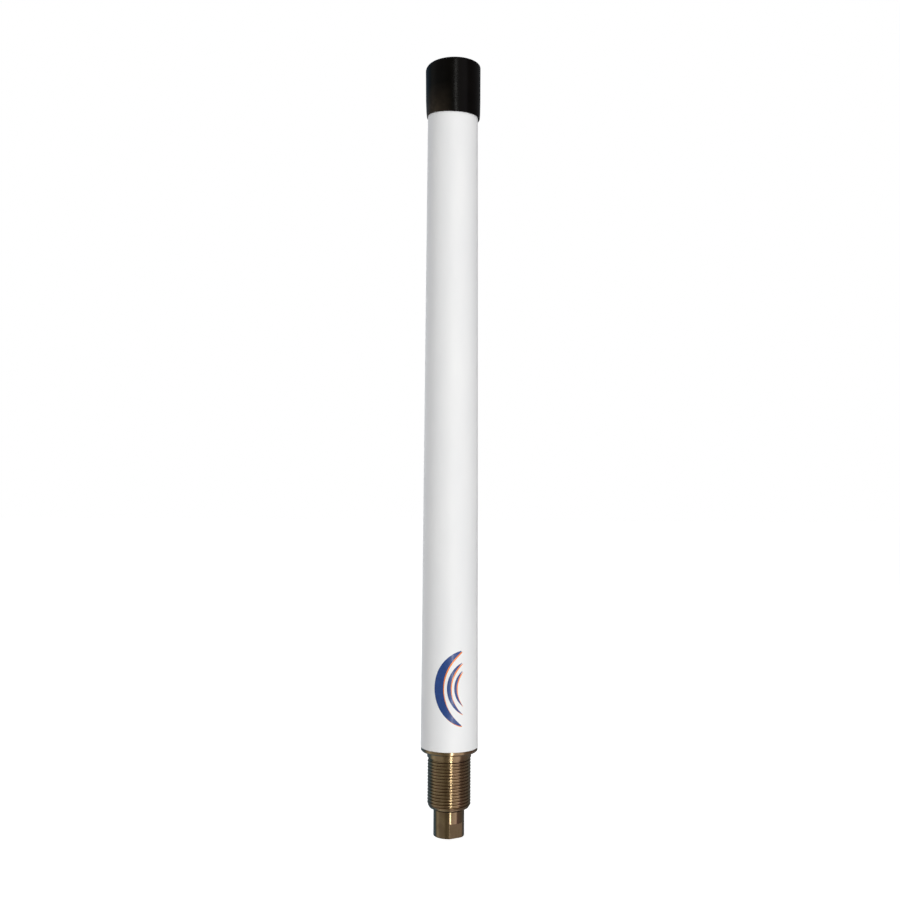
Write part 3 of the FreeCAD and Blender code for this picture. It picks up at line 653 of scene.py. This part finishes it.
def neck():
    """The smooth neck, its two milled flats and its recess."""
    low = NECK_LOW.z
    flats_top = low + FLATS_LENGTH
    # two rows at the top of the flats: the lower follows the flats and the upper stays round
    outline = rounded(
        [
            (SOCKET_RADIUS, low, EDGE_BROKEN),
            (NECK_RADIUS, low, EDGE_ROUND),
            (NECK_RADIUS, flats_top, 0),
            (NECK_RADIUS, flats_top, 0),
            (NECK_RADIUS, NECK_TOP, EDGE_EASED),
            (SHANK_RADIUS, NECK_TOP, EDGE_CRISP),
            (SHANK_RADIUS, NECK_HIGH.z, EDGE_ROUND),
            (JACK_HOLE_RADIUS, NECK_HIGH.z, EDGE_CRISP),
            (JACK_HOLE_RADIUS, SOCKET_FLOOR, EDGE_CRISP),
            (SOCKET_RADIUS, SOCKET_FLOOR, EDGE_ROUND),
        ]
    )
    first_above = next(i for i, p in enumerate(outline) if abs(p[1] - flats_top) < NEAR) + 1

    def row_at(index):
        r, z = outline[index]
        flatted = index < first_above

        def row(angle):
            # the flats' normals are FLATS_TURN round from -Y and opposite
            facing = abs(math.cos(angle + math.pi / 2 - FLATS_TURN))
            if flatted and r * facing > FLATS_DISTANCE:
                return FLATS_DISTANCE / facing, z
            return r, z

        return row

    edge = math.acos(FLATS_DISTANCE / NECK_RADIUS)
    middles = (FLATS_TURN - math.pi / 2, FLATS_TURN + math.pi / 2)
    edges = [(middle + side * edge) % math.tau for middle in middles for side in (-1, 1)]
    even = [math.tau * i / SEGMENTS for i in range(SEGMENTS)]
    spaced = [a for a in even if all(abs(a - e) > FLATS_GAP for e in edges)]
    angles = sorted(spaced + edges) + [math.tau]
    bm = revolve([row_at(i) for i in range(len(outline))], angles)
    piece = stand_in("neck_brass", "connector_housing", bm, sharp=25)
    # the same brass as the ferrule's, smoother and with its colour darkened as painted shade, and rough where
    # it is milled, where its colour is darkened further as painted shade
    piece.data.materials[0] = bronzed_brass("brass_neck", (0.10, 0.14), painted_shade_factor=0.78)
    piece.data.materials.append(bronzed_brass("brass_milled", (0.48, 0.58), painted_shade_factor=0.6, milled=True))
    for face in piece.data.polygons:
        centre = face.center
        across = abs(centre.x * math.sin(FLATS_TURN) - centre.y * math.cos(FLATS_TURN))
        if centre.z < flats_top and abs(across - FLATS_DISTANCE) < NEAR:
            face.material_index = 1


def jack():
    """The coaxial jack's shell with its fine thread, flange, barrel and crimp spigot."""
    low, high = JACK_LOW.z, JACK_HIGH.z
    flange_low = SOCKET_FLOOR - JACK_FLANGE_THICKNESS
    thread_top = flange_low - JACK_RELIEF
    relief_radius = JACK_THREAD.radius - JACK_THREAD.depth
    mouth_radius = JACK_THREAD.radius - JACK_CHAMFER

    def limit(z):
        """A bevel at 45 degrees at either end of the thread."""
        return min(mouth_radius + z - low, relief_radius + thread_top - z)

    upper = rounded(
        [
            (relief_radius, thread_top, 0),
            (relief_radius, flange_low, EDGE_CRISP),
            (JACK_FLANGE_RADIUS, flange_low, JACK_FLANGE_EDGE),
            (JACK_FLANGE_RADIUS, SOCKET_FLOOR, EDGE_BROKEN),
            (JACK_BARREL_RADIUS, SOCKET_FLOOR, EDGE_TIGHT),
            (JACK_BARREL_RADIUS, JACK_BARREL_TOP, EDGE_ROUND),
            (JACK_SPIGOT_RADIUS, JACK_BARREL_TOP, EDGE_CRISP),
            (JACK_SPIGOT_RADIUS, high, EDGE_EASED),
            (JACK_CABLE_RADIUS, high, EDGE_CRISP),
            (JACK_CABLE_RADIUS, JACK_BORE_TOP, 0),
            (JACK_BORE_RADIUS, JACK_BORE_TOP, EDGE_CRISP),
            (JACK_BORE_RADIUS, low, EDGE_BROKEN),
            (mouth_radius, low, 0),
        ]
    )
    thread = thread_rows(JACK_THREAD, low, thread_top, limit)
    stand_in("jack_threaded", "jack_shell", revolve(thread + ring_rows(upper)))


def gasket():
    """The rubber ring squeezed between ferrule and neck, bulging at its rim."""
    low, high, radius = GASKET_LOW.z, GASKET_HIGH.z, GASKET_HIGH.x
    inner = SHANK_RADIUS + GASKET_CLEARANCE
    outline = rounded(
        [
            (inner, low, EDGE_CRISP),
            (radius, low, EDGE_FULL),
            (radius, high, EDGE_FULL),
            (inner, high, EDGE_CRISP),
        ]
    )
    stand_in("gasket_rubber", "housing_gasket", revolve(ring_rows(outline)))


# ---- tube and cap ----


def tube():
    """The tapered tube, open at both ends."""
    low, high = TUBE_LOW.z, TUBE_HIGH.z
    outline = rounded(
        [
            (TUBE_BASE_RADIUS - TUBE_WALL, low, EDGE_EASED),
            (TUBE_BASE_RADIUS, low, EDGE_ROUND),
            (TUBE_TIP_RADIUS, high, EDGE_SOFT),
            (TUBE_TIP_RADIUS - TUBE_WALL, high, EDGE_EASED),
        ]
    )
    stand_in("radome_tube", "radome", revolve(ring_rows(outline)))


def tube_radius(z):
    """The tube's outer radius at a height."""
    share = (z - TUBE_LOW.z) / (TUBE_HIGH.z - TUBE_LOW.z)
    return TUBE_BASE_RADIUS + (TUBE_TIP_RADIUS - TUBE_BASE_RADIUS) * share


def top_plug():
    """The moulded cup in the tube's upper end: soft edges, a stepped floor and a gate mark."""
    low, high = PLUG_LOW.z, PLUG_HIGH.z
    outer = TUBE_TIP_RADIUS - TUBE_WALL - PLUG_CLEARANCE
    inner = outer - PLUG_WALL
    floor = low + PLUG_WALL
    step = floor - PLUG_STEP
    gate = floor - GATE_SINK
    rim_low, rim_radius = TUBE_HIGH.z, PLUG_HIGH.x
    outline = rounded(
        [
            (0, low, 0),
            (outer - PLUG_CHAMFER, low, EDGE_ROUND),
            (outer, low + PLUG_CHAMFER, EDGE_ROUND),
            (outer, rim_low, EDGE_TIGHT),
            (rim_radius, rim_low, EDGE_EASED),
            (rim_radius, high, EDGE_SOFT),
            (inner, high, EDGE_SOFT),
            (inner, floor, INSIDE_FILLET),
            (PLUG_STEP_TOP * inner, floor, EDGE_EASED),
            (PLUG_STEP_FOOT * inner, step, EDGE_EASED),
            (GATE_RADIUS, step, EDGE_CRISP),
            (GATE_TOP_RADIUS, gate, EDGE_CRISP),
            (0, gate, 0),
        ]
    )
    stand_in("plug_moulded", "top_plug", revolve(ring_rows(outline)))


def cap_outline(shoulder):
    """The cap's section, barrelled and drawn in at the rim, with the given rounding of its top edge."""
    low, high, radius = CAP_LOW.z, CAP_HIGH.z, CAP_HIGH.x - CAP_CLEARANCE
    rim = [(CAP_BORE_RADIUS, low, EDGE_EASED), (CAP_BORE_RADIUS + CAP_RIM_WALL, low, EDGE_SOFT)]
    barrel = [(radius - inset, low + height, rounding) for inset, height, rounding in CAP_BARREL]
    roof = [
        (radius, high, shoulder),
        (0, high - CAP_SAG, 0),
        (0, high - CAP_ROOF, 0),
        (CAP_BORE_RADIUS, high - CAP_ROOF, INSIDE_FILLET),
    ]
    return rounded(rim + barrel + roof, steps=8)


def rim_lift(angle):
    """How far the soft rim is raised at an angle: its mean, a tilt and a two-way wave."""
    tilt = RIM_TILT * (math.sin(angle) - math.cos(angle))
    return RIM_LIFT + tilt + RIM_WAVE * math.cos(2 * angle)


def cap():
    """Slip-on vinyl cap: its top edge is sharper on +X, and its rim is uneven and leans that way."""
    height = CAP_HIGH.z - CAP_LOW.z

    def row_between(sharp, soft):
        def row(angle):
            share = (1 + math.cos(angle)) / 2
            r, z = soft + (sharp - soft) * share
            # the lift dies away quickly above the rim
            return r, z + rim_lift(angle) * ((CAP_HIGH.z - z) / height) ** 3

        return row

    outlines = zip(cap_outline(CAP_SHARP_SHOULDER), cap_outline(CAP_SOFT_SHOULDER))
    bm = revolve([row_between(sharp, soft) for sharp, soft in outlines])
    for vert in bm.verts:
        # the bore stays centred on the tube: only the outside of the wall leans
        outside = min(max((vert.co.xy.length - CAP_BORE_RADIUS) / CAP_LEAN_DEPTH, 0.0), 1.0)
        vert.co.x += CAP_LEAN * outside * ((CAP_HIGH.z - vert.co.z) / height) ** 2
    stand_in("cap_vinyl", "end_cap", bm, body="cap", sharp=60)


# ---- emblem ----


def on_tube(across, up, lift):
    """A point of the emblem, given flat from its middle, laid on the tube's front."""
    z = EMBLEM_HEIGHT + up
    r = tube_radius(z) + lift
    angle = across / r - math.pi / 2
    return Vector((r * math.cos(angle), r * math.sin(angle), z))


def crescent(bm, radius, half_span, half_width, shift, lift):
    """A band along an arc that opens to +X, widest in its middle, as a thin closed strip."""
    top, bottom = [], []
    for i in range(CRESCENT_STEPS + 1):
        along = 2 * i / CRESCENT_STEPS - 1
        angle = math.pi + half_span * along
        fullness = math.cos(along * math.pi / 2) ** CRESCENT_CURVE
        width = half_width * max(fullness, CRESCENT_TIP)
        for layer, height in ((top, lift), (bottom, lift - INK_THICKNESS)):
            line = []
            for j in range(CRESCENT_ROWS + 1):
                reach = radius + width * (2 * j / CRESCENT_ROWS - 1)
                across = EMBLEM_FOCUS + reach * math.cos(angle) + shift[0]
                up = reach * math.sin(angle) + shift[1]
                line.append(bm.verts.new(on_tube(across, up, height)))
            layer.append(line)
    close_strip(bm, top, bottom)


def close_strip(bm, top, bottom):
    """Faces of a thin strip: its top, its underside and its four sides."""
    for layer in (top, bottom):
        for a, b in zip(layer, layer[1:]):
            for j in range(len(a) - 1):
                bm.faces.new((a[j], a[j + 1], b[j + 1], b[j]))
    for k in (0, -1):
        for i in range(len(top) - 1):
            bm.faces.new((top[i][k], top[i + 1][k], bottom[i + 1][k], bottom[i][k]))
        for j in range(len(top[k]) - 1):
            bm.faces.new((top[k][j], top[k][j + 1], bottom[k][j + 1], bottom[k][j]))


def emblem():
    """A generic radio-wave sign: nested crescents with an orange shadow."""
    layers = (
        ("emblem_shadow", EMBLEM_ORANGE, SHADOW_SHIFT, SHADOW_LIFT),
        ("emblem_waves", EMBLEM_BLUE, (0.0, 0.0), WAVES_LIFT),
    )
    for name, colour, shift, lift in layers:
        bm = bmesh.new()
        for radius, half_span, half_width in EMBLEM_WAVES:
            crescent(bm, radius, half_span, half_width, shift, lift)
        new_piece(name, bm, print_ink(name + "_ink", colour), "antenna")


# ---- stage: floor, light and camera ----


def stage():
    """A large pale floor with a glow of its own. It throws no light or shadow and is clear from below."""
    bm = bmesh.new()
    bmesh.ops.create_grid(bm, x_segments=1, y_segments=1, size=FLOOR_HALF_SIZE)
    mesh = bpy.data.meshes.new("floor")
    bm.to_mesh(mesh)
    bm.free()
    floor = bpy.data.objects.new("floor", mesh)
    floor.location.z = FLOOR_Z - FLOOR_GAP
    floor.visible_glossy = False
    floor.visible_diffuse = False
    floor.visible_shadow = False
    n = Nodes("floor_pale")
    tone = n.mottle(n.noise(3, detail=2), (0.60, 0.60, 0.60), (0.61, 0.61, 0.61))
    material = n.finish(tone, n.remap(n.noise(5), 0.8, 0.9), Specular_IOR_Level=0.0)
    n.link(tone, n.shader.inputs["Emission Color"])
    n.shader.inputs["Emission Strength"].default_value = FLOOR_GLOW
    clear = n.add("ShaderNodeBsdfTransparent")
    choose = n.add("ShaderNodeMixShader")
    n.link(n.add("ShaderNodeNewGeometry").outputs["Backfacing"], choose.inputs["Fac"])
    n.link(n.shader.outputs["BSDF"], choose.inputs[1])
    n.link(clear.outputs["BSDF"], choose.inputs[2])
    n.link(choose.outputs["Shader"], n.tree.nodes["Material Output"].inputs["Surface"])
    mesh.materials.append(material)
    bpy.context.scene.collection.objects.link(floor)


def area_light(name, azimuth, distance, size, power, height=LIGHT_HEIGHT, colour=(1, 1, 1)):
    """A level soft box that looks at the axis. Azimuth 0 is the camera's side, positive to its right."""
    turn = math.radians(azimuth)
    away = Vector((math.sin(turn), -math.cos(turn), 0))
    light = bpy.data.lights.new(name, "AREA")
    light.shape = "RECTANGLE"
    light.size, light.size_y = size
    light.energy = power
    light.color = colour
    lamp = bpy.data.objects.new(name, light)
    lamp.location = away * distance + Vector((0, 0, height))
    lamp.rotation_euler = away.to_track_quat("Z", "Y").to_euler()
    bpy.context.scene.collection.objects.link(lamp)
    return lamp


def lights():
    """A tall strip that draws the bright line, and three broad boxes that nothing mirrors."""
    area_light("strip_right", 11, 1.6, (0.16, 2.6), 15.5, colour=(1.0, 1.0, 0.97))
    key = area_light("key_right", 24, 2.6, (0.9, 1.6), 17, height=KEY_HEIGHT)
    left = area_light("fill_behind_left", -140, 2.0, FILL_SIZE, 32)
    right = area_light("fill_behind_right", 140, 2.0, FILL_SIZE, 5)
    for lamp in (key, left, right):
        lamp.visible_glossy = False


def world():
    """White behind the object, an even light on it, and a darker surround for what it mirrors."""
    surround = bpy.data.worlds.new("studio")
    bpy.context.scene.world = surround
    surround.use_nodes = True
    tree = surround.node_tree

    def plain(colour):
        node = tree.nodes.new("ShaderNodeBackground")
        node.inputs["Color"].default_value = (*colour, 1)
        return node.outputs["Background"]

    def choose(factor, without, with_it):
        node = tree.nodes.new("ShaderNodeMixShader")
        tree.links.new(factor, node.inputs["Fac"])
        tree.links.new(without, node.inputs[1])
        tree.links.new(with_it, node.inputs[2])
        return node.outputs["Shader"]

    angle = tree.nodes.new("ShaderNodeTexGradient")
    angle.gradient_type = "RADIAL"
    tree.links.new(tree.nodes.new("ShaderNodeTexCoord").outputs["Generated"], angle.inputs["Vector"])
    ramp = tree.nodes.new("ShaderNodeValToRGB")
    tree.links.new(angle.outputs["Fac"], ramp.inputs["Fac"])
    set_stops(ramp, [((degrees + 90) / 360, colour) for degrees, colour in SURROUND])
    mirrored = tree.nodes["Background"]
    mirrored.inputs["Strength"].default_value = SURROUND_STRENGTH
    tree.links.new(ramp.outputs["Color"], mirrored.inputs["Color"])
    rays = tree.nodes.new("ShaderNodeLightPath").outputs
    lit = choose(rays["Is Glossy Ray"], plain(AMBIENT), mirrored.outputs["Background"])
    shown = choose(rays["Is Camera Ray"], lit, plain((1, 1, 1)))
    tree.links.new(shown, tree.nodes["World Output"].inputs["Surface"])


def camera():
    """Stands 607 mm in front of the axis, looks slightly up, and is rolled by a third of a degree."""
    data = bpy.data.cameras.new("camera")
    data.lens = CAMERA_LENS
    data.sensor_width = CAMERA_SENSOR
    data.clip_start = CAMERA_CLIP
    cam = bpy.data.objects.new("camera", data)
    cam.location = CAMERA_PLACE
    look = Euler((math.radians(90 + CAMERA_PITCH), 0, 0)).to_matrix()
    roll = Matrix.Rotation(math.radians(CAMERA_ROLL), 3, "Z")
    cam.rotation_euler = (look @ roll).to_euler()
    bpy.context.scene.collection.objects.link(cam)
    bpy.context.scene.camera = cam


camera()
dress_nodes()
ferrule()
neck()
jack()
gasket()
tube()
top_plug()
cap()
emblem()
stage()
lights()
world()
bpy.context.scene.view_settings.view_transform = "Standard"
